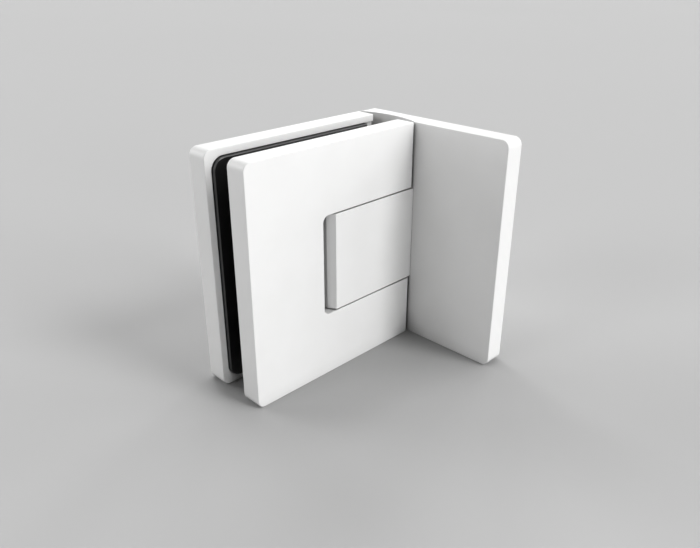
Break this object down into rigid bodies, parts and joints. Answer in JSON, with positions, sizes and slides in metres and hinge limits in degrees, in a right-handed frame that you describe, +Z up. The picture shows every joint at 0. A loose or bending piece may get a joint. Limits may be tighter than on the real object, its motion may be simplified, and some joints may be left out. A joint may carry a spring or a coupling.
{
  "type": "glass door hinge",
  "caption": "Square wall-to-glass swing-door hinge: two clamp plates with rubber gaskets turn about a knuckle block on an offset wall plate.",
  "frame": {"origin": "on the wall plane, in line with the glass's middle and half-way up the hinge", "axes": "+X into the wall, so the glass runs off to -X; +Y away from the side that the wall plate is offset to; +Z up, along the pin"},
  "size_m": [0.0895, 0.0708, 0.09],
  "materials": {
    "white_coat": "fine matt powder coat",
    "black_rubber": "smooth moulded",
    "stainless": "satin",
    "spring_steel": "drawn wire",
    "brass": "machined",
    "nylon": "natural"
  },
  "bodies": {
    "wall_side": {"base_plate": "stainless", "wall_cover": "white_coat", "cover_screws": "stainless", "pivot_block": "white_coat", "block_screws": "stainless", "upper_bush": "nylon", "lower_bush": "nylon", "upper_washer": "nylon", "lower_washer": "nylon", "upper_spring": "spring_steel", "lower_spring": "spring_steel"},
    "follower": {"cam_follower": "brass"},
    "clamp": {"front_plate": "white_coat", "rear_plate": "white_coat", "front_gasket": "black_rubber", "rear_gasket": "black_rubber", "upper_lug": "brass", "lower_lug": "brass", "lug_screws": "stainless", "clamp_screws": "stainless", "pivot_pin": "stainless", "pin_screws": "stainless"}
  },
  "joints": [
    {"name": "clamp_swing", "type": "hinge", "parent": "wall_side", "child": "clamp", "pos_m": [-0.0365, 0, 0], "axis": [0, 0, 1], "range_deg": [-90, 90]},
    {"name": "follower_slide", "type": "slide", "parent": "wall_side", "child": "follower", "axis": [1, 0, 0], "range_m": [0, 0.0008], "stiffness_N_per_m": 34000, "springref_m": -0.003, "deforming": ["upper_spring", "lower_spring"]}
  ]
}
